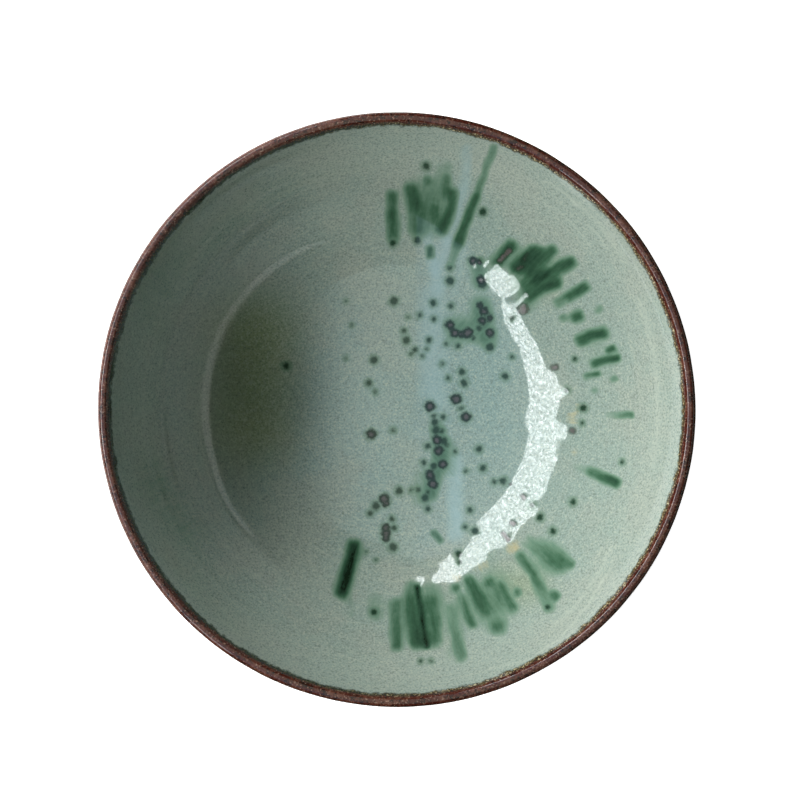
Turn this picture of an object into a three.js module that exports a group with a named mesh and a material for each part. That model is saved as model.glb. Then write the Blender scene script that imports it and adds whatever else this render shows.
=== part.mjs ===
// A round stoneware bowl, thrown on a wheel as one piece of clay and glazed: a deep, smoothly curved well,
// a thin rounded lip, and a trimmed foot ring round a shallow recess.
// Millimetres, +Z up. The origin is the middle of the foot's underside, on the surface the bowl stands on.
import * as THREE from "three";

// Driving dimensions
const RIM_DIAMETER = 210;
const LIP_THICKNESS = 3.8;
const WELL_RADIUS = 124; // the arc of the inside from the middle out to the turn
const SIDE_RADIUS = 92; // the tighter arc of the inside from the turn up to the lip
const TURN_SLOPE = 40; // degrees: the inside's slope where one arc meets the other
const FLOOR_THICKNESS = 6;
const WALL_AT_FOOT = 7; // the wall's thickness just above the foot ring, where it is thickest
const FOOT_DIAMETER = 77;
const FOOT_WIDTH = 6.5; // the ring that the bowl stands on, bevels included
const FOOT_TAPER = 0.6; // how far the foot's outside draws in towards its top
const FOOT_BEVEL = 0.9;
const FOOT_FILLET = 4.5; // between the foot's outside and the wall
const RECESS_DEPTH = 5;
const RECESS_FILLET = 2.5;

// Steps along the outline and round the bowl
const ARC_STEP = THREE.MathUtils.degToRad(4.4);
const LIP_STEPS = 8;
const FILLET_STEPS = 3;
const SEGMENTS = 88;

const GLAZE = { color: 0x8fa39a, roughness: 0.12, metalness: 0 };

const { degToRad, lerp } = THREE.MathUtils;
const point = (x, y) => new THREE.Vector2(x, y);

// An outline runs in the plane of the axis. The wall's normal at a slope points out of the bowl.
const normalAt = (slope) => point(Math.sin(slope), -Math.cos(slope));

// The inside's two arcs share one normal at the turn, so the second centre lies on it.
const turn = degToRad(TURN_SLOPE);
const wellCentre = point(0, RECESS_DEPTH + FLOOR_THICKNESS + WELL_RADIUS);
const sideCentre = normalAt(turn).multiplyScalar(WELL_RADIUS - SIDE_RADIUS).add(wellCentre);

// The lip is a half round whose outermost point is the rim.
const lipRadius = LIP_THICKNESS / 2;
const lipSlope = Math.asin(
  (RIM_DIAMETER / 2 - lipRadius - sideCentre.x) / (SIDE_RADIUS + lipRadius),
);

// The foot's outside would meet the wall at this slope if it had no fillet.
const footTop = FOOT_DIAMETER / 2 - FOOT_TAPER;
const footSlope = Math.asin(footTop / (WELL_RADIUS + WALL_AT_FOOT));

// A point on the inside at a slope, moved outwards through the wall.
function wallPoint(slope, depth) {
  const [centre, radius] =
    slope < turn ? [wellCentre, WELL_RADIUS] : [sideCentre, SIDE_RADIUS];
  return normalAt(slope)
    .multiplyScalar(radius + depth)
    .add(centre);
}

// The wall thins evenly from the foot to the lip.
function thicknessAt(slope) {
  return lerp(WALL_AT_FOOT, LIP_THICKNESS, (slope - footSlope) / (lipSlope - footSlope));
}

function arcPoints(from, to, step, pointAt) {
  const count = Math.round(Math.abs(to - from) / step);
  return Array.from({ length: count + 1 }, (_, i) => pointAt(lerp(from, to, i / count)));
}

function inside() {
  const pointAt = (slope) => wallPoint(slope, 0);
  return [
    ...arcPoints(0, turn, ARC_STEP, pointAt),
    ...arcPoints(turn, lipSlope, ARC_STEP, pointAt).slice(1),
  ];
}

// Half a turn about the lip's centre, without its ends, which the inside and the outside bring.
function lip() {
  const centre = wallPoint(lipSlope, lipRadius);
  const pointAt = (slope) => normalAt(slope).multiplyScalar(lipRadius).add(centre);
  return arcPoints(lipSlope + Math.PI, lipSlope, Math.PI / LIP_STEPS, pointAt).slice(1, -1);
}

function outside() {
  const pointAt = (slope) => wallPoint(slope, thicknessAt(slope));
  const filletSlope = footSlope + FOOT_FILLET / (WELL_RADIUS + WALL_AT_FOOT);
  return [
    ...arcPoints(lipSlope, turn, ARC_STEP, pointAt),
    ...arcPoints(turn, filletSlope, ARC_STEP, pointAt).slice(1),
  ];
}

// The foot ring, from the end of the wall down, across its flat face and up into the recess.
function foot(wallEnd) {
  const corner = wallPoint(footSlope, WALL_AT_FOOT);
  const fillet = new THREE.QuadraticBezierCurve(
    wallEnd,
    corner,
    point(corner.x, corner.y - FOOT_FILLET),
  );
  const outer = FOOT_DIAMETER / 2;
  const inner = outer - FOOT_WIDTH;
  const recess = new THREE.QuadraticBezierCurve(
    point(inner, RECESS_DEPTH - RECESS_FILLET),
    point(inner, RECESS_DEPTH),
    point(inner - RECESS_FILLET, RECESS_DEPTH),
  );
  return [
    ...fillet.getPoints(FILLET_STEPS).slice(1),
    point(outer, FOOT_BEVEL),
    point(outer - FOOT_BEVEL, 0),
    point(inner + FOOT_BEVEL, 0),
    point(inner, FOOT_BEVEL),
    ...recess.getPoints(FILLET_STEPS),
    point(0, RECESS_DEPTH),
  ];
}

function bowl() {
  const wall = outside();
  const outline = [...inside(), ...lip(), ...wall, ...foot(wall.at(-1))];
  const geometry = new THREE.LatheGeometry(outline.reverse(), SEGMENTS);
  geometry.rotateX(Math.PI / 2); // the lathe turns about Y, and the bowl stands on Z
  const mesh = new THREE.Mesh(geometry, new THREE.MeshStandardMaterial(GLAZE));
  mesh.name = "bowl";
  return mesh;
}

const part = new THREE.Group();
part.add(bowl());

export default part;
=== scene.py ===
"""The looks of a wheel-thrown stoneware bowl, glazed in a reactive celadon that breaks to iron at the lip.

The bowl is one piece of clay, so it is one mesh: the outline of the CAD solid, finely divided, with the
marks of the wheel in its surface. The runs and spots of the glaze are fields on its vertices that its
material reads, and so are some patches of painted light and sheen.
"""
import math

import bpy
import numpy as np
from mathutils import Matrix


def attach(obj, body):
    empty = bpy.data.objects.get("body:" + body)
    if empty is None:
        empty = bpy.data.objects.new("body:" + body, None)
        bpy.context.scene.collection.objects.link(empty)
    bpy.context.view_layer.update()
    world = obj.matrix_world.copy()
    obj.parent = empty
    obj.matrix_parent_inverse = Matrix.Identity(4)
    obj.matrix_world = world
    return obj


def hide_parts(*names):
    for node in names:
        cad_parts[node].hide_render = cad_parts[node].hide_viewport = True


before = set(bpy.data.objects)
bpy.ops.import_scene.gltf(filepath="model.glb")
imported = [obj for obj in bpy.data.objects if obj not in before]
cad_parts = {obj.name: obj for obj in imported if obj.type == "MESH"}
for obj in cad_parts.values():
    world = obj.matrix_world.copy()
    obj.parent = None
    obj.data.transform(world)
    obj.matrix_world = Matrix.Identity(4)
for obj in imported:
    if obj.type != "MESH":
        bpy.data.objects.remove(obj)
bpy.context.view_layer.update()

MM = 0.001

# The bowl's outline in millimetres, as in the CAD solid
RIM_RADIUS = 105
LIP_RADIUS = 1.9
WELL_RADIUS = 124
SIDE_RADIUS = 92
TURN_SLOPE = math.radians(40)
FLOOR_THICKNESS = 6
WALL_AT_FOOT = 7
FOOT_RADIUS = 38.5
FOOT_WIDTH = 6.5
FOOT_TAPER = 0.6
FOOT_BEVEL = 0.9
FOOT_FILLET = 4.5
RECESS_DEPTH = 5
RECESS_FILLET = 2.5

# How the photograph sees the bowl, in millimetres and in its own pixels
PHOTO_SIDE = 800
PHOTO_MIDDLE = (396.7, 409.6)
PHOTO_RIM = 298.2
CAMERA_ABOVE_LIP = 1150
SENSOR = 36

# The glaze stops this far above the table on the foot's outside and inside it, in rolls this thick and wide,
# whose crowns lie this far from its end
GLAZE_LINE = 4.2
RECESS_GLAZE_LINE = 2.2
GLAZE_ROLL = 0.22
RECESS_ROLL = 0.132
ROLL_HALF_WIDTH = 1.5
ROLL_CROWN = 0.9

# The marks of the wheel, in millimetres. Ribs: how far out as a share of the rim, height and half width
RIBS = [(0.757, -0.06, 1.6), (0.81, -0.05, 1.5), (0.85, 0.07, 1.8)]

# The rings inside deepen between two radii. The ones outside lie round a length of the outline.
INNER_PITCH = 6.5
INNER_DEPTHS = (0.004, 0.016)
INNER_DEEPEN = (70, 82)
OUTER_PITCH = 8.5
OUTER_DEPTH = 0.10
OUTER_RINGS = (44, 40)

# Waves round the bowl: how many to a turn, their height and phase. The wall's also swing to and fro on the
# way out, over this length.
UNEVEN_WALL = [(3, 0.04, 0.4), (5, 0.03, 2.0), (7, 0.02, 4.0)]
UNEVEN_LENGTH = 14
UNEVEN_LIP = [(4, 0.05, 1.0), (9, 0.05, 0.2), (17, 0.04, 2.0), (31, 0.035, 5.0), (53, 0.025, 1.0)]
WANDERING_EDGE = [(3, 0.30, 0.7), (5, 0.22, 2.1), (11, 0.12, 0.3), (23, 0.06, 4.0)]

# How much longer and shorter than round the rim's two half widths are, and the long one's turn clockwise
OVAL = 0.28
OVAL_TURN = math.radians(15)


def normal(slope):
    """The wall's outward normal where the wall has this slope."""
    return np.stack([np.sin(slope), -np.cos(slope)], axis=-1)


WELL_CENTRE = np.array([0, RECESS_DEPTH + FLOOR_THICKNESS + WELL_RADIUS])
SIDE_CENTRE = WELL_CENTRE + (WELL_RADIUS - SIDE_RADIUS) * normal(TURN_SLOPE)
LIP_SLOPE = math.asin((RIM_RADIUS - LIP_RADIUS - SIDE_CENTRE[0]) / (SIDE_RADIUS + LIP_RADIUS))
FOOT_SLOPE = math.asin((FOOT_RADIUS - FOOT_TAPER) / (WELL_RADIUS + WALL_AT_FOOT))


def wall(slopes, depth):
    """Points of the inside at these slopes, moved outwards through the wall."""
    side = (slopes >= TURN_SLOPE)[:, None]
    centre = np.where(side, SIDE_CENTRE, WELL_CENTRE)
    radius = np.where(side, SIDE_RADIUS, WELL_RADIUS) + np.reshape(depth, (-1, 1))
    return centre + radius * normal(slopes)


def curve(start, middle, end, count=40):
    """A quadratic curve from start to end that leans towards middle."""
    t = np.linspace(0, 1, count)[:, None]
    return (1 - t) ** 2 * np.array(start) + 2 * t * (1 - t) * np.array(middle) + t**2 * np.array(end)


def bowl_outline():
    """The outline as a fine chain of points: the inside from its middle, lip, outside, foot and recess."""
    inside = wall(np.linspace(0, LIP_SLOPE, 1200), 0)
    lip_centre = wall(np.array([LIP_SLOPE]), LIP_RADIUS)
    lip = lip_centre + LIP_RADIUS * normal(np.linspace(LIP_SLOPE + math.pi, LIP_SLOPE, 80))
    slopes = np.linspace(LIP_SLOPE, FOOT_SLOPE + FOOT_FILLET / (WELL_RADIUS + WALL_AT_FOOT), 1000)
    thinning = (slopes - FOOT_SLOPE) / (LIP_SLOPE - FOOT_SLOPE)
    outside = wall(slopes, WALL_AT_FOOT + (2 * LIP_RADIUS - WALL_AT_FOOT) * thinning)
    corner = wall(np.array([FOOT_SLOPE]), WALL_AT_FOOT)[0]
    inner = FOOT_RADIUS - FOOT_WIDTH
    shoulder = (inner, RECESS_DEPTH - RECESS_FILLET)
    foot = [
        curve(outside[-1], corner, (corner[0], corner[1] - FOOT_FILLET)),
        curve((FOOT_RADIUS, FOOT_BEVEL), (FOOT_RADIUS, 0), (FOOT_RADIUS - FOOT_BEVEL, 0)),
        curve((inner + FOOT_BEVEL, 0), (inner, 0), (inner, FOOT_BEVEL)),
        curve(shoulder, (inner, RECESS_DEPTH), (inner - RECESS_FILLET, RECESS_DEPTH)),
        [(0, RECESS_DEPTH)],
    ]
    return np.concatenate([inside, lip, outside, *foot])


class Outline:
    """The outline by its length in millimetres, which is nought on the lip's crown and negative inside."""

    def __init__(self, points):
        steps = np.linalg.norm(np.diff(points, axis=0), axis=1)
        points = points[np.concatenate([[True], steps > 1e-6])]
        self.points = points
        steps = np.linalg.norm(np.diff(points, axis=0), axis=1)
        length = np.concatenate([[0], np.cumsum(steps)])
        self.along = length - length[points[:, 1].argmax()]
        self.middles = (self.along[1:] + self.along[:-1]) / 2
        self.tangents = np.diff(points, axis=0) / steps[:, None]

    def at(self, along):
        """Radius and height at these lengths."""
        return [np.interp(along, self.along, self.points[:, axis]) for axis in (0, 1)]

    def normal(self, along):
        """The clay's outward normal at these lengths, as its parts along the radius and the height."""
        dr, dz = [np.interp(along, self.middles, self.tangents[:, axis]) for axis in (0, 1)]
        size = np.hypot(dr, dz)
        return -dz / size, dr / size

    def where(self, radius, height):
        """The length at the point of the outline that is nearest to this one."""
        return self.along[np.hypot(*(self.points - (radius, height)).T).argmin()]


outline = Outline(bowl_outline())
WIDEST, WIDEST_HEIGHT = outline.points[outline.points[:, 0].argmax()]
CAMERA_HEIGHT = CAMERA_ABOVE_LIP + outline.points[:, 1].max()
GLAZE_END = outline.where(FOOT_RADIUS - 0.4, GLAZE_LINE)
RECESS_START = outline.where(FOOT_RADIUS - FOOT_WIDTH, RECESS_GLAZE_LINE)

# How finely each stretch of the outline is divided: its end, the rows' spacing and the columns' spacing
STRETCHES = [
    (-8, 0.80, 0.88),
    (9, 0.62, 1.0),
    (GLAZE_END - 4, 1.65, 1.9),
    (RECESS_START + 6, 0.6, 1.4),
    (outline.along[-1], 2.2, 2.6),
]


def ring_plan():
    """Each ring's length along the outline and its number of vertices."""
    plan = []
    start = outline.along[0]
    for end, row, column in STRETCHES:
        count = round((end - start) / row)
        for along in np.linspace(start, end, count, endpoint=False):
            radius = outline.at(along)[0]
            plan.append((along, max(1, round(2 * math.pi * radius / column))))
        start = end
    plan.append((start, 1))
    return plan


def join_rings(first, first_bearings, second, second_bearings):
    """Triangles between two rings, each step taken on the ring whose next vertex comes first."""
    triangles = []
    i = j = 0
    n, m = len(first_bearings), len(second_bearings)
    if n == 1 or m == 1:
        hub, ring, count = (first, second, m) if n == 1 else (second, first, n)
        for k in range(count):
            edge = (ring + k, ring + (k + 1) % count)
            triangles.append((hub, *edge) if n == 1 else (hub, *edge[::-1]))
        return triangles
    a = np.append(first_bearings, first_bearings[0] + 2 * math.pi)
    b = np.append(second_bearings, second_bearings[0] + 2 * math.pi)
    while i < n or j < m:
        if j == m or (i < n and a[i + 1] <= b[j + 1]):
            triangles.append((first + i, second + j % m, first + (i + 1) % n))
            i += 1
        else:
            triangles.append((first + i % n, second + j, second + (j + 1) % m))
            j += 1
    return triangles


def waves(bearing, parts):
    """The sum of these waves round the bowl."""
    return sum(height * np.cos(turns * bearing + phase) for turns, height, phase in parts)


def bump(x, middle, half_width):
    """A smooth hill, one high, that ends at half_width from its middle."""
    t = np.clip(np.abs(x - middle) / half_width, 0, 1)
    return (1 - t * t) ** 2


def throwing_relief(along, radius, bearing):
    """How far the thrower's hands and tools leave the surface from the outline, in millimetres."""
    ribs = sum(height * bump(radius, share * RIM_RADIUS, width) for share, height, width in RIBS)
    # The fingers climb as the wheel turns, so the fine rings are one long spiral, deeper near the lip.
    spiral = 2 * math.pi * radius / INNER_PITCH - bearing
    fine = np.sin(spiral) + 0.5 * np.sin(1.7 * spiral + 1)
    fine *= np.interp(radius, INNER_DEEPEN, INNER_DEPTHS)
    spiral = 2 * math.pi * along / OUTER_PITCH - bearing
    outer = OUTER_DEPTH * (np.sin(spiral) + 0.3 * np.sin(2.3 * spiral)) * bump(along, *OUTER_RINGS)
    uneven = waves(bearing, UNEVEN_WALL) * np.sin(radius / UNEVEN_LENGTH)
    return np.where(along < 0, ribs + fine + uneven, outer)


def lip_relief(along, bearing):
    """The lip is hand-finished: it swells and thins a little on its way round, in millimetres."""
    return waves(bearing, UNEVEN_LIP) * bump(along, 0, 5)


def out_of_round(radius, bearing):
    """Drying leaves the bowl slightly oval: the change of radius, in millimetres."""
    return OVAL * np.cos(2 * (bearing + OVAL_TURN)) * radius / RIM_RADIUS


def glaze_edge(along):
    """The small rolls in which the glaze ends on the foot's outside and inside."""
    outer = GLAZE_ROLL * bump(along, GLAZE_END - ROLL_CROWN, ROLL_HALF_WIDTH)
    inner = RECESS_ROLL * bump(along, RECESS_START + ROLL_CROWN, ROLL_HALF_WIDTH)
    return outer + inner


def bowl_mesh():
    """The bowl's vertices and triangles, in metres, with each vertex's length along the outline."""
    plan = ring_plan()
    starts = np.concatenate([[0], np.cumsum([count for _, count in plan])])
    # Every other ring is turned by half a step.
    bearings = [
        (np.arange(count) + 0.5 * (i % 2)) * 2 * math.pi / count for i, (_, count) in enumerate(plan)
    ]
    triangles = []
    for i in range(len(plan) - 1):
        triangles += join_rings(starts[i], bearings[i], starts[i + 1], bearings[i + 1])

    nominal = np.concatenate([np.full(count, along) for along, count in plan])
    bearing = np.concatenate(bearings)
    # Near the glaze's two edges the rows wander with the edge, so that it is drawn along them.
    wander = waves(bearing, WANDERING_EDGE)
    along = nominal + wander * (bump(nominal, GLAZE_END, 4) - 0.5 * bump(nominal, RECESS_START, 2))
    radius, height = outline.at(along)
    out_r, out_z = outline.normal(along)
    relief = throwing_relief(along, radius, bearing) + lip_relief(along, bearing) + glaze_edge(nominal)
    radius = radius + relief * out_r + out_of_round(radius, bearing)
    height = height + relief * out_z
    vertices = np.stack([radius * np.cos(bearing), radius * np.sin(bearing), height], axis=1)
    return vertices * MM, np.array(triangles), nominal


# The glaze's marks, in the photograph's pixels: dark green spots, each a place and a radius
GREEN_SPOTS = [
    (286, 366, 3.2), (394, 301, 4), (433, 303, 3.2), (451, 306, 2.6), (420, 315, 2.2), (408, 317, 1.4),
    (434, 319, 2.3), (404, 331, 2.3), (406, 340, 3.6), (429, 340, 2.6), (427, 349, 1.3), (415, 350, 2.6),
    (411, 354, 1.8), (422, 356, 1.4), (374, 360, 3.7), (442, 364, 2), (446, 344, 1.8), (458, 346, 2.6),
    (490, 347, 4), (512, 357, 1.8), (505, 376, 3.4), (462, 372, 3.2), (464, 383, 3.6), (448, 378, 2),
    (369, 383, 3.2), (375, 392, 1.8), (393, 430, 2.3), (461, 408, 2.3), (434, 416, 2.6), (443, 417, 2.6),
    (435, 422, 3.6), (436, 430, 4), (442, 431, 2.6), (444, 441, 3.6), (447, 445, 2.6), (428, 446, 3),
    (455, 452, 2.2), (479, 449, 3.2), (483, 468, 3.2), (466, 471, 1.8), (424, 463, 2.6), (434, 466, 3.5),
    (399, 491, 3.6), (411, 490, 1.8), (418, 490, 2.6), (428, 492, 2.2), (425, 498, 4), (494, 482, 2.2),
    (503, 481, 3.6), (376, 506, 4), (370, 513, 2.6), (428, 509, 2.6), (392, 519, 2.6), (394, 528, 2.6),
    (393, 547, 4.2), (470, 510, 2.6), (465, 527, 2.2), (475, 531, 3.6), (459, 554, 3.6), (460, 562, 2.4),
    (366, 552, 0.9), (376, 560, 0.8), (473, 338, 2.4), (479, 328, 3), (567, 390, 2.6),
    (583, 408, 3.4), (582, 423, 1.8), (575, 359, 2), (622, 462, 2), (573, 502, 3), (553, 531, 3),
    (540, 517, 3.4), (532, 505, 3), (426, 166, 3.6), (483, 212, 3.6),
    (450, 281, 4), (450, 268, 2.4), (421, 661, 1.6), (431, 661, 1.4), (374, 612, 3.2), (393, 243, 3.2),
    (417, 240, 3.4), (548, 607, 2.6), (346, 301, 1.2), (352, 325, 1.2), (346, 358, 1.2),
    (482, 284, 4.6), (512, 318, 2.6),
]

# Spots where iron has come out of the glaze as a metallic scum
IRON_SPOTS = [
    (371, 434, 4.6), (456, 399, 5), (466, 417, 4.6), (430, 406, 4.8), (437, 440, 4.6), (439, 451, 4.6),
    (443, 464, 4.4), (430, 475, 4.8), (433, 484, 4.8), (384, 499, 4.8), (386, 503, 3.6),
    (386, 528, 4.2), (386, 533, 4.4), (386, 538, 3.8), (450, 325, 4.6), (455, 333, 4.6), (461, 334, 3.6),
    (468, 333, 5.2), (484, 311, 4.2), (480, 305, 3.2), (482, 321, 4.2), (490, 333, 4.2), (490, 318, 3.2),
    (473, 261, 4), (479, 262, 3), (481, 280, 4.2),
]

# Runs in the photograph's pixels: width, strength at the first point and at the last, and points along it.
# First the green ones, and last among them the faint hazes round them
RUNS = {}
RUNS["green"] = [
    (12, 0.7, 0.6, [(392, 192), (392, 213)]),
    (13, 0.72, 0.68, [(392, 213), (393, 240)]),
    (13, 0.74, 0.58, [(410, 186), (412, 196), (416, 208)]),
    (15, 0.3, 0.6, [(416, 206), (418, 234)]),
    (8, 0.5, 0.5, [(427, 177), (429, 184)]),
    (36, 0.42, 0.48, [(434, 188), (431, 230)]),
    (18, 0.3, 0.22, [(446, 163), (444, 192)]),
    (9, 0.38, 0.25, [(446, 176), (447, 200)]),
    (7, 0.35, 0.25, [(434, 205), (437, 224)]),
    (11, 0.6, 0.74, [(453, 190), (452, 207), (446, 221), (439, 232)]),
    (8.5, 0.48, 0.6, [(495, 145), (486, 168), (476, 197)]),
    (10, 0.72, 0.84, [(476, 197), (469, 214), (462, 233), (457, 246)]),
    (8, 0.45, 0.3, [(456, 247), (450, 268)]),
    (9, 0.75, 0.75, [(430, 247), (430, 257)]),
    (14, 0.86, 0.76, [(514, 243), (504, 254), (495, 265)]),
    (13, 0.78, 0.86, [(535, 248), (524, 259), (512, 270)]),
    (11, 0.66, 0.66, [(541, 247), (531, 262), (524, 274)]),
    (12, 0.76, 0.62, [(555, 248), (541, 261), (530, 271)]),
    (13, 0.88, 0.66, [(574, 260), (556, 270), (533, 280)]),
    (12, 0.84, 0.7, [(560, 282), (541, 289), (526, 297)]),
    (11, 0.48, 0.55, [(548, 273), (522, 286)]),
    (36, 0.46, 0.36, [(518, 270), (548, 281)]),
    (24, 0.44, 0.32, [(530, 298), (519, 305)]),
    (11, 0.88, 0.72, [(588, 285), (568, 297)]),
    (11, 0.6, 0.45, [(568, 297), (555, 305)]),
    (12, 0.74, 0.8, [(582, 314), (572, 319)]),
    (9, 0.55, 0.4, [(566, 317), (560, 320)]),
    (8, 0.45, 0.42, [(601, 306), (596, 312)]),
    (12, 0.86, 0.76, [(606, 332), (590, 336), (577, 341)]),
    (6.5, 0.85, 0.7, [(615, 348), (607, 351)]),
    (7.5, 0.8, 0.72, [(619, 357), (605, 361), (592, 364)]),
    (6, 0.65, 0.5, [(600, 373), (584, 377)]),
    (6, 0.5, 0.38, [(617, 377), (611, 381)]),
    (7, 0.42, 0.36, [(597, 390), (592, 391)]),
    (7, 0.72, 0.22, [(634, 415), (605, 415)]),
    (11, 0.92, 0.6, [(619, 484), (602, 477), (590, 471)]),
    (10, 0.32, 0.12, [(590, 471), (571, 466)]),
    (12, 0.92, 0.9, [(341, 596), (348, 570), (355, 542)]),
    (5, 1.0, 1.0, [(343, 590), (353, 559)]),
    (21, 0.4, 0.34, [(341, 595), (349, 570), (356, 543)]),
    (12, 0.2, 0.15, [(352, 618), (351, 600)]),
    (17, 0.4, 0.28, [(375, 618), (375, 594)]),
    (13, 0.72, 0.56, [(397, 649), (396, 625), (395, 600)]),
    (16, 0.88, 0.64, [(418, 647), (414, 625), (411, 600)]),
    (13, 0.5, 0.35, [(411, 600), (412, 582)]),
    (5.5, 1.0, 0.95, [(427, 648), (422, 615), (417, 585)]),
    (15, 0.7, 0.5, [(432, 646), (431, 625), (429, 600)]),
    (24, 0.34, 0.36, [(433, 602), (433, 588)]),
    (12, 0.32, 0.28, [(438, 640), (436, 600)]),
    (11, 0.46, 0.34, [(462, 660), (456, 634), (450, 606)]),
    (10, 0.74, 0.6, [(455, 585), (456, 592)]),
    (22, 0.22, 0.22, [(457, 660), (454, 600)]),
    (9, 0.7, 0.38, [(473, 627), (466, 610), (460, 594)]),
    (42, 0.52, 0.6, [(498, 616), (484, 590)]),
    (11, 0.48, 0.68, [(487, 615), (477, 596), (467, 577)]),
    (11, 0.66, 0.55, [(490, 584), (487, 580)]),
    (10, 0.52, 0.36, [(514, 610), (507, 597), (499, 584)]),
    (15, 0.6, 0.52, [(504, 629), (492, 625)]),
    (9, 0.66, 0.6, [(520, 592), (515, 593)]),
    (10, 0.66, 0.56, [(536, 576), (527, 565), (518, 554)]),
    (13, 0.42, 0.66, [(551, 611), (542, 592), (536, 578)]),
    (27, 0.68, 0.54, [(560, 563), (548, 555), (538, 550)]),
    (15, 0.42, 0.48, [(566, 559), (561, 571)]),
    (8, 0.55, 0.2, [(574, 565), (567, 562)]),
    (15, 0.32, 0.3, [(538, 549), (527, 541)]),
    (9, 0.78, 0.64, [(558, 598), (552, 592)]),
    (7.5, 0.7, 0.62, [(433, 531), (441, 542)]),
    (15, 0.6, 0.6, [(437, 425), (441, 455)]),
    (14, 0.55, 0.65, [(440, 455), (430, 497)]),
    (19, 0.62, 0.6, [(480, 300), (489, 345)]),
    (16, 0.55, 0.45, [(478, 262), (482, 285)]),
    (26, 0.55, 0.5, [(448, 330), (476, 330)]),
    (44, 0.2, 0.2, [(606, 338), (598, 374)]),
    (52, 0.11, 0.11, [(462, 250), (466, 305)]),
    (54, 0.14, 0.14, [(506, 524), (490, 578)]),
    (34, 0.14, 0.3, [(421, 632), (417, 588)]),
    (40, 0.22, 0.2, [(420, 180), (420, 225)]),
    (20, 0.3, 0.3, [(447, 440), (448, 475)]),
    (22, 0.3, 0.3, [(424, 470), (420, 505)]),
    (56, 0.16, 0.16, [(192, 235), (162, 280), (146, 330)]),
    (56, 0.18, 0.18, [(146, 465), (165, 500), (204, 545)]),
]

# Pale, milky blue ones
RUNS["milky"] = [
    (30, 0.45, 0.5, [(433, 288), (433, 400)]),
    (17, 0.6, 0.6, [(455, 455), (456, 540)]),
    (12, 0.46, 0.52, [(467, 145), (465, 180), (457, 213), (447, 240)]),
    (15, 0.52, 0.48, [(447, 240), (439, 262), (437, 290)]),
    (10, 0.42, 0.48, [(424, 212), (429, 246), (434, 275)]),
    (10, 0.32, 0.25, [(467, 240), (460, 262), (455, 295)]),
    (20, 0.25, 0.25, [(440, 400), (446, 455)]),
]

# Broad olive and cool tinges. The widest olive one darkens the left of the well, where its shadow lies; the
# cool ones are partly the celadon's own tinge and partly a painted reflection of the pale blue ceiling
RUNS["olive"] = [
    (96, 0.66, 0.6, [(254, 306), (250, 455)]),
    (44, 0.5, 0.45, [(520, 264), (556, 286)]),
    (46, 0.5, 0.4, [(490, 590), (548, 580)]),
]
RUNS["cool"] = [
    (170, 0.6, 0.6, [(478, 320), (482, 520)]),
    (90, 0.4, 0.4, [(440, 190), (468, 245), (450, 330)]),
]

# Pale ones, all painted: three broad veils of painted light on the left half of the well, then painted sheen
# along the ribs' scratches and rings on the right wall
RUNS["pale"] = [
    (80, 0.14, 0.14, [(356, 345), (352, 455)]),
    (70, 0.18, 0.18, [(285, 575), (325, 600)]),
    (54, 0.2, 0.2, [(320, 178), (336, 228)]),
    (2.6, 0.35, 0.3, [(541, 181), (552, 184), (565, 193), (577, 206)]),
    (3.0, 0.25, 0.3, [(544, 203), (556, 209), (570, 221), (584, 237), (590, 247)]),
    (7, 0.3, 0.25, [(572, 199), (592, 216), (611, 239), (627, 264)]),
    (2.4, 0.3, 0.3, [(585, 222), (598, 235), (608, 250)]),
    (6, 0.26, 0.24, [(640, 300), (651, 340), (657, 380), (658, 425), (652, 470)]),
    (2.4, 0.35, 0.35, [(488, 669), (508, 665), (533, 658)]),
    (2.4, 0.35, 0.35, [(536, 655), (556, 641), (573, 624), (590, 602), (603, 578)]),
    (5, 0.3, 0.28, [(552, 628), (572, 609), (590, 587), (603, 566), (612, 545)]),
    (2.4, 0.3, 0.3, [(598, 590), (608, 572), (614, 556)]),
]

# Thin, warm patches beside the iron
RUNS["warm"] = [
    (12, 0.8, 0.6, [(518, 546), (507, 550)]),
    (9, 0.5, 0.4, [(487, 565), (476, 569)]),
    (8, 0.5, 0.4, [(460, 575), (452, 581)]),
    (11, 0.6, 0.4, [(572, 414), (573, 424)]),
    (8, 0.5, 0.3, [(574, 450), (576, 454)]),
    (7, 0.5, 0.4, [(358, 572), (352, 574)]),
    (7, 0.4, 0.3, [(578, 404), (576, 412)]),
]

# Streaks and crusts of iron scum
RUNS["iron"] = [
    (6.5, 0.9, 0.8, [(511, 249), (504, 256), (498, 262)]),
    (6, 0.6, 0.6, [(523, 265), (516, 270)]),
    (4, 0.5, 0.5, [(528, 252), (524, 262)]),
    (10, 0.9, 0.8, [(527, 307), (519, 311)]),
    (7, 0.25, 0.25, [(513, 298), (506, 300)]),
    (6.5, 0.9, 0.8, [(558, 367), (551, 368)]),
    (6.5, 0.9, 0.8, [(575, 431), (569, 430)]),
    (5, 0.9, 0.9, [(525, 499), (521, 495)]),
    (5.5, 1.0, 1.0, [(511, 522), (515, 525)]),
    (5, 1.0, 1.0, [(502, 532), (506, 537), (509, 541)]),
    (4, 0.8, 0.9, [(510, 483), (511, 485)]),
    (5, 0.35, 0.35, [(556, 283), (546, 287)]),
]

# Over which share of their width the runs fade out
FADES = {"pale": 1.0, "olive": 1.0, "cool": 1.0, "milky": 0.8, "warm": 0.9, "green": 0.85, "iron": 0.9}


def to_photo(vertices):
    """Where the photograph shows these points of the inside, in its pixels."""
    scale = (CAMERA_HEIGHT - WIDEST_HEIGHT) / (CAMERA_HEIGHT - vertices[:, 2] / MM)
    across = vertices[:, :2] / MM * scale[:, None] * PHOTO_RIM / RIM_RADIUS
    return np.array(PHOTO_MIDDLE) + across * (1, -1)


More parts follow.
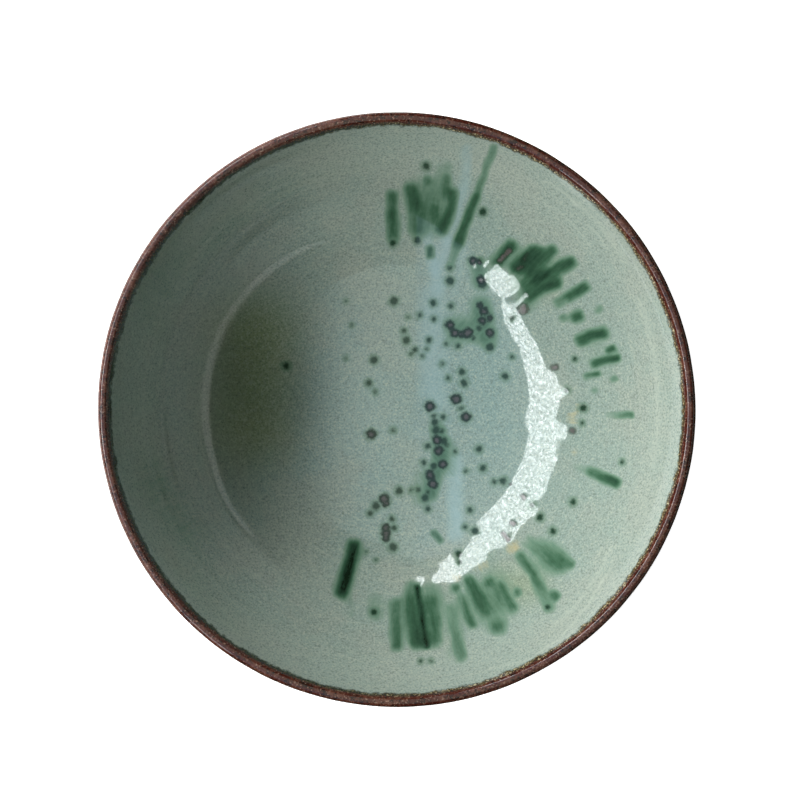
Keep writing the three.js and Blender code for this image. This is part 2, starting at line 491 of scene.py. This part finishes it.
def wobbled(places):
    """The places moved a little to and fro, so that no run has a ruled edge."""
    x, y = places.T
    sideways = 0.35 * np.sin(y / 4.1 + 1.9 * np.sin(x / 9)) + 0.25 * np.sin(x / 2.9 + y / 6.3)
    downwards = 0.35 * np.sin(x / 3.7 + 2.1 * np.sin(y / 8)) + 0.25 * np.sin(y / 3.1 - x / 5.9)
    return places + np.stack([sideways, downwards], axis=1)


def spot_distance(places, spots):
    """The distance to the nearest spot's edge in millimetres, negative within it."""
    distance = np.full(len(places), 1e3)
    for x, y, radius in spots:
        distance = np.minimum(distance, np.hypot(places[:, 0] - x, places[:, 1] - y) - radius)
    return distance * RIM_RADIUS / PHOTO_RIM


def run_strength(places, runs, edge):
    """How strongly the runs show at these places, from 0 to 1. They fade over this share of their width,
    and towards their two ends.
    """
    bare = np.ones(len(places))
    for width, first, last, points in runs:
        points = np.array(points, float)
        steps = np.linalg.norm(np.diff(points, axis=0), axis=1)
        starts = np.concatenate([[0], np.cumsum(steps)])
        best = np.full(len(places), 1e3)
        along = np.zeros(len(places))
        for a, b, size, start in zip(points[:-1], points[1:], steps, starts):
            t = (places - a) @ (b - a) / size**2
            distance = np.hypot(*(places - a - np.clip(t, 0, 1)[:, None] * (b - a)).T)
            along = np.where(distance < best, start + t * size, along)
            best = np.minimum(distance, best)
        strength = first + (last - first) * np.clip(along / starts[-1], 0, 1)
        to_end = np.minimum(along, starts[-1] - along)
        for fade in ((width / 2 - best) / (edge * width) + 0.5, to_end / width + 0.65):
            fade = np.clip(fade, 0, 1)
            strength = strength * fade * fade * (3 - 2 * fade)
        bare *= 1 - strength
    return 1 - bare


def add_field(mesh, name, values):
    """Stores one number a vertex on the mesh, for its material."""
    mesh.attributes.new(name, "FLOAT", "POINT").data.foreach_set("value", np.asarray(values, np.float32))


def glaze_fields(mesh, vertices, along):
    """The fields that the glaze's material reads."""
    places = to_photo(vertices)
    inside = along < 1
    far = 1e2
    # The lip's iron edge reaches further down on the outside.
    further = 2
    add_field(mesh, "rim", np.where(along < 0, -along, np.maximum(along - further, 0)))
    for name, spots in [("green_spots", GREEN_SPOTS), ("iron_spots", IRON_SPOTS)]:
        add_field(mesh, name, np.where(inside, spot_distance(places, spots), far))
    places = wobbled(places)
    for name, runs in RUNS.items():
        add_field(mesh, f"{name}_runs", np.where(inside, run_strength(places, runs, FADES[name]), 0))


def linear(colour):
    """An sRGB hex colour as the linear red, green, blue and alpha that Blender takes."""
    channels = [int(colour[i:i + 2], 16) / 255 for i in (1, 3, 5)]
    return [c / 12.92 if c <= 0.04045 else ((c + 0.055) / 1.055) ** 2.4 for c in channels] + [1]


def add(tree, kind, inputs=None, output=0, **settings):
    """Adds a node with its settings and links, and returns one of its outputs."""
    made = tree.nodes.new("ShaderNode" + kind)
    for name, value in settings.items():
        setattr(made, name, value)
    for name, value in (inputs or {}).items():
        if isinstance(value, bpy.types.NodeSocket):
            tree.links.new(value, made.inputs[name])
        else:
            made.inputs[name].default_value = value
    return made.outputs[output] if len(made.outputs) else None


# The Mix node's colour sockets by number, because their names repeat
FACTOR, UNDER, OVER, MIXED = 0, 6, 7, 2


def coated(tree, colour, coats, ease="SMOOTHSTEP"):
    """The colour under coats of others, each laid on where its field goes from one value to another, and in
    this amount.
    """
    for over, field, bare, full, amount in coats:
        reach = {"Value": field, "From Min": bare, "From Max": full, "To Min": 0.0, "To Max": amount}
        factor = add(tree, "MapRange", reach, interpolation_type=ease)
        over = linear(over) if isinstance(over, str) else over
        mix = {FACTOR: factor, UNDER: colour, OVER: over}
        colour = add(tree, "Mix", mix, output=MIXED, data_type="RGBA")
    return colour


def shaken(tree, field, noise, reach):
    """The field, moved up or down by about this reach where the noise is high or low."""
    centred = add(tree, "Math", {0: noise, 1: 0.5}, operation="SUBTRACT")
    return add(tree, "Math", {0: centred, 1: 4 * reach, 2: field}, operation="MULTIPLY_ADD")


def new_material(name):
    """An empty node material and its tree."""
    material = bpy.data.materials.new(name)
    material.use_nodes = True
    material.node_tree.nodes.clear()
    return material, material.node_tree


def per_mm(size):
    """The scale of a texture whose features are this many millimetres across."""
    return 1 / (size * MM)


def celadon_glaze():
    """Reactive celadon on stoneware: a glassy sage-green glaze, fired in reduction.

    The eye sees a wet gloss over a soft, speckled grey-green. Where copper and iron were splashed on it the
    glaze has run in green streaks, with dark spots whose middles went metallic. On the sharp lip it is so
    thin that the iron of the clay shows through as a warm brown edge.
    """
    material, tree = new_material("reactive_celadon_glaze")
    place = add(tree, "TexCoord", output="Object")
    names = ["rim", "green_spots", "iron_spots"] + [f"{name}_runs" for name in RUNS]
    field = {name: add(tree, "Attribute", output="Fac", attribute_name=name) for name in names}

    # Directions round and down the bowl, for streaks that follow the flow of the glaze
    level = add(tree, "VectorMath", {0: place, 1: (1, 1, 0)}, operation="MULTIPLY")
    bearing = add(tree, "VectorMath", {0: level}, operation="NORMALIZE")
    across = add(tree, "VectorMath", {0: level}, output="Value", operation="LENGTH")
    height = add(tree, "SeparateXYZ", {0: place}, output="Z")
    down = add(tree, "Math", {0: across, 1: height}, operation="ADD")
    # How far round the bowl is towards the side across from the window, whose inside its light falls on; it
    # sets where the lip's speckle is painted lit or shaded
    painted_light_side = add(tree, "SeparateXYZ", {0: bearing}, output="X")

    # Noises: each one's features in millimetres, detail and roughness. The finest grain of the real glaze is
    # drawn coarser, because a pixel of the photograph is a third of a millimetre.
    noise = {}
    sizes = {"fine": (0.7, 2, 0.6), "grain": (1.8, 3, 0.65), "patch": (7, 3, 0.6), "cloud": (26, 4, 0.6)}
    for name, (size, detail, rough) in sizes.items():
        inputs = {"Vector": place, "Scale": per_mm(size), "Detail": detail, "Roughness": rough}
        noise[name] = add(tree, "TexNoise", inputs)
    # Streaks down the wall and rings round it: how many to a radian, and their length down the wall
    for name, turns, length in [("flow", 34, 14), ("rings", 1.3, 2.4)]:
        turned = add(tree, "VectorMath", {0: bearing, "Scale": turns}, operation="SCALE")
        drop = add(tree, "Math", {0: down, 1: per_mm(length)}, operation="MULTIPLY")
        drop = add(tree, "CombineXYZ", {"Z": drop})
        stretched = add(tree, "VectorMath", {0: turned, 1: drop}, operation="ADD")
        inputs = {"Vector": stretched, "Scale": 1, "Detail": 3, "Roughness": 0.62}
        noise[name] = add(tree, "TexNoise", inputs)

    # The celadon itself: bluer in the well, greener on the wall, and paler towards the lip and in faint
    # rings, which is partly a thinner glaze and partly a painted sheen
    colour = coated(tree, linear("#8DA5A3"), [
        ("#92A69F", across, 0.030, 0.062, 1.0),
        ("#A0A9A0", noise["cloud"], 0.42, 0.62, 0.5),
        # Paler near the lip and in rings: partly thinner glaze, partly painted sheen
        ("#BAC2B8", field["rim"], 34, 14, 0.25),
        ("#B4BCB0", noise["rings"], 0.50, 0.78, 0.30),
        # The widest olive run darkens the well's shaded left; the cool runs are partly a painted reflection
        ("#8A986A", field["olive_runs"], 0.0, 1.0, 1.0),
        ("#829F9B", field["cool_runs"], 0.0, 1.0, 1.0),
        ("#7F8F85", noise["grain"], 0.50, 0.34, 0.25),
        ("#B3BFB4", noise["grain"], 0.52, 0.68, 0.25),
        ("#5A6960", noise["fine"], 0.49, 0.28, 0.55),
        ("#C6CEBC", noise["fine"], 0.51, 0.72, 0.50),
    ])

    # Milky, warm and green runs, which thin out along the flow
    runs = {}
    for name, reach in [("milky_runs", 0.10), ("warm_runs", 0.30), ("green_runs", 0.10)]:
        there = {"Value": field[name], "From Min": 0.0, "From Max": 0.2, "To Min": 0.0, "To Max": 1.0}
        there = add(tree, "MapRange", there, interpolation_type="SMOOTHSTEP")
        loose = shaken(tree, shaken(tree, field[name], noise["flow"], reach), noise["grain"], 0.4 * reach)
        runs[name] = add(tree, "Math", {0: loose, 1: there}, operation="MULTIPLY")
    colour = coated(tree, colour, [
        # The pale runs: painted light on the left of the well, painted sheen on the right wall
        ("#CFDACD", field["pale_runs"], 0.0, 1.0, 1.0),
        ("#9DBBC0", runs["milky_runs"], 0.0, 1.0, 0.95),
        ("#C4B88C", runs["warm_runs"], 0.1, 0.9, 0.75),
        ("#6D8F7B", runs["green_runs"], 0.02, 0.46, 0.92),
        ("#3C624B", runs["green_runs"], 0.32, 0.74, 0.96),
        ("#294536", runs["green_runs"], 0.64, 0.92, 0.90),
        ("#0B1A0C", runs["green_runs"], 0.86, 1.04, 0.85),
    ])

    # Spots: a green halo, a dark edge and, on the iron ones, a metallic middle
    green_edge = shaken(tree, field["green_spots"], noise["grain"], 0.32)
    iron_edge = shaken(tree, field["iron_spots"], noise["grain"], 0.50)
    either = add(tree, "Math", {0: green_edge, 1: iron_edge}, operation="MINIMUM")
    middle = shaken(tree, iron_edge, noise["fine"], 0.25)
    crust = shaken(tree, shaken(tree, field["iron_runs"], noise["fine"], 0.14), noise["grain"], 0.14)
    colour = coated(tree, colour, [
        ("#5F836D", either, 1.9, 0.1, 0.62),
        ("#1D3728", green_edge, 0.60, -0.60, 0.94),
        ("#17261E", iron_edge, 0.75, -0.35, 0.95),
        ("#5A5658", middle, -0.45, -1.35, 0.90),
        ("#26382D", crust, 0.10, 0.55, 0.70),
        ("#625A5A", crust, 0.40, 0.95, 0.90),
    ])
    scums = []
    for iron, bare, full in [(middle, -0.30, -1.20), (crust, 0.40, 0.95)]:
        reach = {"Value": iron, "From Min": bare, "From Max": full, "To Min": 0.0, "To Max": 1.0}
        scums.append(add(tree, "MapRange", reach, interpolation_type="SMOOTHSTEP"))
    scum = add(tree, "Math", {0: scums[0], 1: scums[1]}, operation="MAXIMUM")

    # The lip: bare brown on the crown, then a speckled change to the glaze, with painted light and shade in
    # it:
    # yellow speckle across from the window, where its light falls, and dark speckle on the window's side, in
    # shade
    edge = shaken(tree, shaken(tree, field["rim"], noise["grain"], 0.7), noise["patch"], 0.8)
    speckle = coated(tree, linear("#2B2418"), [
        ("#5B4A2C", noise["fine"], 0.36, 0.50, 0.9),
        ("#D2C49A", noise["fine"], 0.54, 0.66, 0.9),
    ])
    # The lip's speckle in painted shade
    painted_shade_speckle = coated(tree, linear("#1D241C"), [
        ("#4F5030", noise["fine"], 0.44, 0.62, 0.8),
    ])
    # Painted light and shade: the lit, yellow speckle across from the window, the shaded, dark one on its
    # side
    speckle = coated(tree, painted_shade_speckle, [(speckle, painted_light_side, -0.35, 0.25, 1.0)])
    brown = coated(tree, linear("#50231A"), [
        ("#6A4032", noise["patch"], 0.45, 0.62, 0.8),
        ("#1F0E08", noise["grain"], 0.52, 0.36, 0.80),
        ("#B5937F", noise["fine"], 0.57, 0.72, 0.60),
        ("#150804", noise["fine"], 0.44, 0.30, 0.80),
    ])
    colour = coated(tree, colour, [
        ("#2A352D", edge, 4.9, 4.2, 0.55),
        (speckle, edge, 4.4, 3.6, 1.0),
        (brown, edge, 3.2, 2.1, 1.0),
    ])

    # Gloss, and the faint orange peel of the glaze
    iron_rough = add(tree, "Math", {0: scum, 1: 0.12, 2: 0.04}, operation="MULTIPLY_ADD")
    skin = add(tree, "TexNoise", {"Vector": place, "Scale": per_mm(5), "Detail": 1})
    peel = add(tree, "Bump", {"Height": skin, "Strength": 1, "Distance": 0.014 * MM})
    pitted = {"Height": noise["fine"], "Strength": 1, "Distance": 0.0006 * MM, "Normal": peel}
    pits = add(tree, "Bump", pitted)
    metal = add(tree, "Math", {0: scum, 1: 0.1}, operation="MULTIPLY")
    wet = {"Base Color": colour, "Roughness": iron_rough, "Metallic": metal, "Normal": pits, "IOR": 1.55}
    add(tree, "OutputMaterial", {"Surface": add(tree, "BsdfPrincipled", wet)})
    return material


def bare_stoneware():
    """Unglazed stoneware, wiped clean before firing: the eye sees a dry, toasted clay with iron grit."""
    material, tree = new_material("bare_stoneware")
    place = add(tree, "TexCoord", output="Object")
    grit = add(tree, "TexNoise", {"Vector": place, "Scale": per_mm(0.8), "Detail": 3, "Roughness": 0.7})
    toast = add(tree, "TexNoise", {"Vector": place, "Scale": per_mm(14), "Detail": 3, "Roughness": 0.6})
    coats = [("#7A5138", toast, 0.35, 0.65, 1.0), ("#33241B", grit, 0.42, 0.30, 0.8)]
    colour = coated(tree, linear("#9A7B5C"), coats, ease="LINEAR")
    skin = add(tree, "Bump", {"Height": grit, "Strength": 1, "Distance": 0.12 * MM})
    dry = {"Base Color": colour, "Roughness": 0.86, "Normal": skin, "IOR": 1.45}
    add(tree, "OutputMaterial", {"Surface": add(tree, "BsdfPrincipled", dry)})
    return material


def thrown_bowl():
    """The bowl: its mesh, its fields and its two finishes, in the place of the CAD solid."""
    vertices, triangles, along = bowl_mesh()
    mesh = bpy.data.meshes.new("thrown_bowl")
    mesh.from_pydata(vertices, [], triangles.tolist())
    mesh.update()
    mesh.shade_smooth()
    glaze_fields(mesh, vertices, along)
    mesh.materials.append(celadon_glaze())
    mesh.materials.append(bare_stoneware())
    bare = (along[triangles] >= GLAZE_END - 0.01) & (along[triangles] <= RECESS_START + 0.01)
    mesh.polygons.foreach_set("material_index", bare.all(axis=1).astype(np.int32))
    piece = bpy.data.objects.new("thrown_bowl", mesh)
    bpy.context.collection.objects.link(piece)
    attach(piece, "root")
    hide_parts("bowl")
    return piece


def glowing(name, colour, strength):
    """A light-giving material. Its strength is a number, or a function that adds it to the tree."""
    material, tree = new_material(name)
    if callable(strength):
        strength = strength(tree)
    light = add(tree, "Emission", {"Color": linear(colour), "Strength": strength})
    add(tree, "OutputMaterial", {"Surface": light})
    return material


def near_bearing(bearing, reach, strengths):
    """A strength that changes round the bowl, and is the second one nearest to this bearing, in degrees.

    It goes from the first to the second as the cosine of the angle to the bearing goes through reach.
    """

    def strength(tree):
        place = add(tree, "TexCoord", output="Object")
        level = add(tree, "VectorMath", {0: place, 1: (1, 1, 0)}, operation="MULTIPLY")
        level = add(tree, "VectorMath", {0: level}, operation="NORMALIZE")
        side = (math.cos(math.radians(bearing)), math.sin(math.radians(bearing)), 0)
        near = add(tree, "VectorMath", {0: level, 1: side}, output="Value", operation="DOT_PRODUCT")
        limits = zip(["From Min", "From Max", "To Min", "To Max"], [*reach, *strengths])
        return add(tree, "MapRange", {"Value": near, **dict(limits)}, interpolation_type="SMOOTHSTEP")

    return strength


def staged(name, vertices, faces, material):
    """A mesh that is part of the studio and not of the bowl."""
    mesh = bpy.data.meshes.new(name)
    mesh.from_pydata(vertices, [], faces)
    mesh.materials.append(material)
    thing = bpy.data.objects.new(name, mesh)
    bpy.context.collection.objects.link(thing)
    return thing


# In metres: how high the level light panels lie, how far off the upright ones stand, how much lower the
# window lies than the ceiling, so that it is in front, and the size of the leaves outside the window
PANEL_HEIGHT = 1.0
LIGHT_DISTANCE = 3.0
BEFORE_CEILING = 0.002
LEAF_SIZE = 0.027

# The table, in metres: half its side, the step between its layers, where the soft shadow painted round the
# bowl's foot starts to fade and where it ends, and where its shine starts. In degrees: the bearing on which
# the window lights it, and how far its shine goes to each side
TABLE_HALF = 4.0
TABLE_STEP = 0.0001
SHADOW_FADES = 0.05
SHADOW_END = 0.108
SHINE_START = 0.19
BRIGHT_SIDE = 155
SHINE_HALF = 78

# The window's reflection in the glaze, in the photograph's pixels: its outline, and the pieces beside it
WINDOW = [
    (498, 263), (501, 268), (506, 273), (508, 276), (510, 275), (514, 274), (517, 278), (519.5, 283),
    (518, 289), (513, 293), (508, 296), (504, 297), (504, 302), (509, 305), (512, 303.5), (524, 292.5),
    (527, 295), (516, 306), (514.5, 308), (519, 313), (520.5, 318), (523, 324), (528, 332), (531, 337),
    (535, 342), (538, 349), (541, 356), (543, 362), (546, 369), (551, 370), (556, 375), (557.5, 381),
    (559, 385), (562.5, 386.5), (566.5, 390.5), (564, 395), (560, 398), (559, 402), (558.5, 408),
    (556, 414), (554, 417.5), (557, 419.5), (562, 423), (566.5, 427), (566.5, 431), (563, 437),
    (558.5, 439), (557.5, 444), (556, 450), (555, 458), (552, 464), (549, 472), (546.5, 478), (544, 485),
    (543, 493), (540, 498), (535, 500), (530, 503), (532, 507), (536, 507.5), (536, 514), (533, 519),
    (528, 519), (523, 524), (518.5, 528), (515, 534), (512.5, 540), (508, 545), (500, 550), (492, 550),
    (487, 555), (486, 560), (480, 565), (472, 569), (467, 574), (462.5, 576.5), (457.5, 581), (450, 582.5),
    (442.5, 582.5), (436, 585), (433, 581), (434, 576), (439, 571), (441, 565), (447, 560), (450.5, 554),
    (455, 561), (460, 567.5), (461, 557.5), (465, 550), (469, 544), (472.5, 536.5), (479.5, 536),
    (477.5, 531), (477, 525), (481, 517.5), (490, 510), (495, 504), (500, 496), (504, 489), (509, 484),
    (508.5, 481), (511, 475), (515, 466), (520, 455), (524, 442), (526.5, 430), (525, 424), (524, 416),
    (526.5, 408), (527.5, 398), (527, 388), (526, 378), (523.5, 370), (522.5, 363), (520, 355), (519, 348),
    (516.5, 342.5), (512, 338), (509.5, 331), (506, 325), (503.5, 319), (504.5, 315), (503.5, 310),
    (502, 304), (500, 298), (497, 295.5), (493, 293), (488.5, 288), (486, 283), (485, 277), (485.5, 273.5),
    (490, 269), (494, 266),
]
WINDOW_BITS = [
    [(483, 264.5), (486.5, 260.5), (489.5, 260), (488.5, 264), (485, 266.5)],
    [(474, 264.5), (476, 263.5), (476.5, 266), (475, 267)],
    [(416, 581), (420, 576), (425.5, 577.5), (425, 581), (422.5, 587.5), (420.5, 587), (421, 582.5)],
]

# Where iron scum dulls that reflection: places and radii
DULL_SPECKS = [(523, 496, 3.2), (512, 524, 3), (507, 536, 3.4), (512.5, 318, 2.2)]

# A dim, thin light on the other side, as its reflection shows: bearings in degrees, and how far out it lies
# as a share of the rim's radius
FAR_LIGHT = [(108, 0.616), (120, 0.628), (150, 0.64), (180, 0.64), (195, 0.64), (210, 0.65), (224, 0.648)]

# Its strips: colour, strength and outline, which has two bearings, the distance from that line and the width
# as shares of the radius, and how much the ends narrow. All are made in steps
STRIP_STEPS = 60
FAR_STRIPS = [
    ("#F2F2EA", 0.35, (108, 224, -0.014, 0.006, 0.5)),
    ("#F6FAF4", 1.1, (108, 224, -0.008, 0.021, 0.5)),
]

# The outline of the room's pale wall beyond that light, from there up to the bowl's own far rim
ROOM_WALL = (95, 240, 0.013, 0.124, 0)

# The pale ceiling in the gloss of the well, as the photograph shows it: to the right of a beam, and fading
# away to the left of it
BEAM = 416.5
CEILING = [(BEAM, y) for y in range(215, 536, 40)] + [
    (BEAM, 560), (470, 550), (510, 510), (533, 465), (543, 415), (536, 360), (518, 310), (490, 270),
    (450, 235),
]
CEILING_FADES = 350
CEILING_END = 290
FAR_CEILING = [(BEAM, y) for y in range(560, 309, -50)] + [
    (BEAM, 264), (384, 264), (350, 276), (318, 300), (298, 330), (CEILING_END, 360), (CEILING_END, 410),
    (CEILING_END, 460), (298, 490), (318, 514), (345, 530), (380, 545),
]

# What lights the clay: bearing and half width in degrees, lowest and highest elevation, and strength
LIGHTS = [
    ("window_light", 180, 15, 33, 42, 25.0),
    ("window_sides_light", 180, 45, 31, 36, 15.7),
    ("high_window_light", 180, 45, 40, 52, 1.6),
    ("back_door_light", 118, 17, 12, 23, 9.2),
    ("back_window_light", 92, 16, 25, 31, 5.6),
    ("front_door_light", 300, 17, 13, 22, 3.0),
    ("low_light", 180, 180, 1, 5, 0.3),
]


def mirrored(places):
    """Where the light comes from that the glaze reflects at these places of the photograph, in metres."""
    across = (np.array(places, float) - PHOTO_MIDDLE) * (1, -1) * RIM_RADIUS / PHOTO_RIM
    inside = outline.points[outline.along < 0]
    point = across
    # A lower place is seen smaller, so its radius and its height are found together, in a few rounds.
    for _ in range(20):
        height = np.interp(np.hypot(*point.T), *inside.T)
        point = across * ((CAMERA_HEIGHT - height) / (CAMERA_HEIGHT - WIDEST_HEIGHT))[:, None]
    radius = np.hypot(*point.T)
    out_r, out_z = outline.normal(np.interp(radius, inside[:, 0], outline.along[outline.along < 0]))
    normals = np.column_stack([point / radius[:, None] * out_r[:, None], out_z])
    points = np.column_stack([point, height])
    rays = points - (0, 0, CAMERA_HEIGHT)
    rays -= 2 * (rays * normals).sum(axis=1, keepdims=True) * normals
    points = points + rays * ((PANEL_HEIGHT / MM - height) / rays[:, 2])[:, None]
    return points * MM


def panel(name, vertices, faces, colour, strength):
    """A light panel, which gives light, but which the camera doesn't see and which shades nothing."""
    light = staged(name, vertices, faces, glowing(name, colour, strength))
    light.visible_camera = False
    light.visible_shadow = False
    return light


def mirrored_panel(name, places, colour, strength, strip=False):
    """A level panel that the glaze shows, in its gloss alone, with this outline in the photograph.

    A strip's places come in pairs, from one of its edges and the other.
    """
    faces = [tuple(range(len(places)))]
    if strip:
        faces = [(i, i + 1, i + 3, i + 2) for i in range(0, len(places) - 2, 2)]
    shine = panel(name, mirrored(places).tolist(), faces, colour, strength)
    shine.visible_diffuse = False
    return shine


def band(name, bearing, half, edges, colour, strength):
    """A strip of light round the bowl: where it is and how far it goes to each side, in degrees, and the
    radius and height of its two edges, in metres.
    """
    vertices = []
    steps = max(6, round(half / 6))
    for turn in np.radians(np.linspace(bearing - half, bearing + half, steps + 1)):
        vertices += [(radius * math.cos(turn), radius * math.sin(turn), height) for radius, height in edges]
    faces = [(i, i + 1, i + 3, i + 2) for i in range(0, 2 * steps, 2)]
    return panel(name, vertices, faces, colour, strength)


def facing_panel(name, bearing, half, low, high, strength):
    """An upright strip of light between two elevations. It lights the clay and isn't seen in the gloss."""
    rises = [math.radians(low), math.radians(high)]
    edges = [(LIGHT_DISTANCE * math.cos(rise), LIGHT_DISTANCE * math.sin(rise)) for rise in rises]
    light = band(name, bearing, half, edges, "#FFFEFA", strength)
    light.visible_glossy = False


def table_layer(name, layer, material):
    """One layer of the table, counted down from the surface that the bowl stands on."""
    sides = [(-1, -1), (1, -1), (1, 1), (-1, 1)]
    corners = [(x * TABLE_HALF, y * TABLE_HALF, -layer * TABLE_STEP) for x, y in sides]
    return staged(name, corners, [(0, 1, 2, 3)], material)


def table():
    """A pale table, in a layer for the camera, one that lights the bowl from below and one for the gloss.

    The camera's glows, so that it stays white, apart from a soft shadow painted into its glow close round
    the foot.
    """
    material, tree = new_material("white_table")
    place = add(tree, "TexCoord", output="Object")
    out = add(tree, "VectorMath", {0: place}, output="Value", operation="LENGTH")
    # A painted soft shadow: the glow is dimmer close round the foot
    reach = {"Value": out, "From Min": SHADOW_FADES, "From Max": SHADOW_END, "To Min": 0.25, "To Max": 0.92}
    strength = add(tree, "MapRange", reach, interpolation_type="SMOOTHSTEP")
    glow = add(tree, "Emission", {"Color": linear("#FFFFFF"), "Strength": strength})
    matt = add(tree, "BsdfDiffuse", {"Color": linear("#F2F2F2")})
    add(tree, "OutputMaterial", {"Surface": add(tree, "AddShader", {0: matt, 1: glow})})
    seen = table_layer("table_seen", 1, material)
    seen.visible_diffuse = False
    seen.visible_glossy = False

    material, tree = new_material("grey_table")
    matt = add(tree, "BsdfDiffuse", {"Color": linear("#A0A098")})
    add(tree, "OutputMaterial", {"Surface": matt})
    bounce = table_layer("table_bounce", 2, material)
    bounce.visible_camera = False
    bounce.visible_glossy = False

    # In the lip's gloss the table is bright on the window's side, some way off, and dark near the bowl.
    strength = near_bearing(BRIGHT_SIDE, reach=(0.2, 0.8), strengths=(0.0, 4.0))
    edges = [(SHINE_START, -3 * TABLE_STEP), (TABLE_HALF, -3 * TABLE_STEP)]
    shine = band("table_shine", BRIGHT_SIDE, SHINE_HALF, edges, "#FFE9E6", strength)
    shine.visible_diffuse = False


def through_leaves(tree):
    """The strength of the window's light, broken up by the leaves outside it."""
    place = add(tree, "TexCoord", output="Object")
    leaves = add(tree, "TexNoise", {"Vector": place, "Scale": 1 / LEAF_SIZE, "Detail": 4, "Roughness": 0.85})
    reach = {"Value": leaves, "From Min": 0.44, "From Max": 0.62, "To Min": 3.2, "To Max": 21.0}
    return add(tree, "MapRange", reach, interpolation_type="SMOOTHSTEP")


def fading_ceiling(tree):
    """The strength of the ceiling's light left of the beam, which fades to nothing towards its far end."""
    place = add(tree, "SeparateXYZ", {0: add(tree, "TexCoord", output="Object")}, output="X")
    row = PHOTO_MIDDLE[1] + 1
    near, end = mirrored([(CEILING_FADES, row), (CEILING_END, row)])[:, 0]
    reach = {"Value": place, "From Min": end, "From Max": near, "To Min": 0.0, "To Max": 0.95}
    return add(tree, "MapRange", reach, interpolation_type="SMOOTHSTEP")


def far_strip(first, last, start, width, taper):
    """The outline of a strip along the far light between two bearings, as pairs of places of the photograph.

    It starts this far outside the light's line and is this wide, and a taper above 0 narrows its ends.
    """
    bearings, shares = zip(*FAR_LIGHT)
    places = []
    for t in np.linspace(0, 1, STRIP_STEPS):
        turn = first + t * (last - first)
        narrowing = max(math.sin(math.pi * t), 0.0) ** taper
        for edge in (0, width):
            out = (np.interp(turn, bearings, shares) + start + narrowing * edge) * PHOTO_RIM
            a = math.radians(turn)
            places.append((PHOTO_MIDDLE[0] + out * math.cos(a), PHOTO_MIDDLE[1] - out * math.sin(a)))
    return places


def studio():
    """The table, the lights and the soft light of the room."""
    table()
    # What shows in the gloss
    for i, places in enumerate([WINDOW, *WINDOW_BITS]):
        shine = mirrored_panel(f"window_shine_{i}", places, "#F6FDFF", through_leaves)
        shine.location.z = -BEFORE_CEILING
    for i, (x, y, radius) in enumerate(DULL_SPECKS):
        turns = np.linspace(0, 2 * math.pi, 8, endpoint=False)
        places = np.column_stack([x + radius * np.cos(turns), y + radius * np.sin(turns)])
        speck = mirrored_panel(f"dull_speck_{i}", places, "#000000", 0.0)
        speck.location.z = -2 * BEFORE_CEILING
    mirrored_panel("ceiling_shine", CEILING, "#C4E6FF", 0.85)
    mirrored_panel("far_ceiling_shine", FAR_CEILING, "#E2F6EC", fading_ceiling)
    for i, (colour, strength, places) in enumerate(FAR_STRIPS):
        mirrored_panel(f"far_shine_{i}", far_strip(*places), colour, strength, strip=True)
    strength = near_bearing(0, reach=(0.10, 0.75), strengths=(0.0, 0.62))
    mirrored_panel("room_wall_shine", far_strip(*ROOM_WALL), "#EEFBF0", strength, strip=True)
    # What lights the clay
    for light in LIGHTS:
        facing_panel(*light)
    bpy.context.scene.world = room()


def room():
    """A dim room with pale walls: most of its light comes from near the horizon."""
    world = bpy.data.worlds.new("room")
    world.use_nodes = True
    tree = world.node_tree
    tree.nodes.clear()
    place = add(tree, "TexCoord", output="Generated")
    height = add(tree, "SeparateXYZ", {0: place}, output="Z")
    walls = {"Value": height, "From Min": 0.0, "From Max": 0.5, "To Min": 0.08, "To Max": 0.02}
    strength = add(tree, "MapRange", walls, interpolation_type="SMOOTHSTEP")
    glow = add(tree, "Background", {"Color": linear("#EDEBC8"), "Strength": strength})
    add(tree, "OutputWorld", {"Surface": glow})
    return world


def camera():
    """Straight above the bowl, as the photograph was taken."""
    half_frame = WIDEST * PHOTO_SIDE / 2 / PHOTO_RIM
    data = bpy.data.cameras.new("camera")
    data.sensor_width = SENSOR
    data.lens = SENSOR / 2 * (CAMERA_HEIGHT - WIDEST_HEIGHT) / half_frame
    data.shift_x = (PHOTO_SIDE / 2 - PHOTO_MIDDLE[0]) / PHOTO_SIDE
    data.shift_y = (PHOTO_MIDDLE[1] - PHOTO_SIDE / 2) / PHOTO_SIDE
    thing = bpy.data.objects.new("camera", data)
    thing.location = (0, 0, CAMERA_HEIGHT * MM)
    bpy.context.collection.objects.link(thing)
    bpy.context.scene.camera = thing


thrown_bowl()
studio()
camera()
bpy.context.scene.view_settings.view_transform = "Standard"
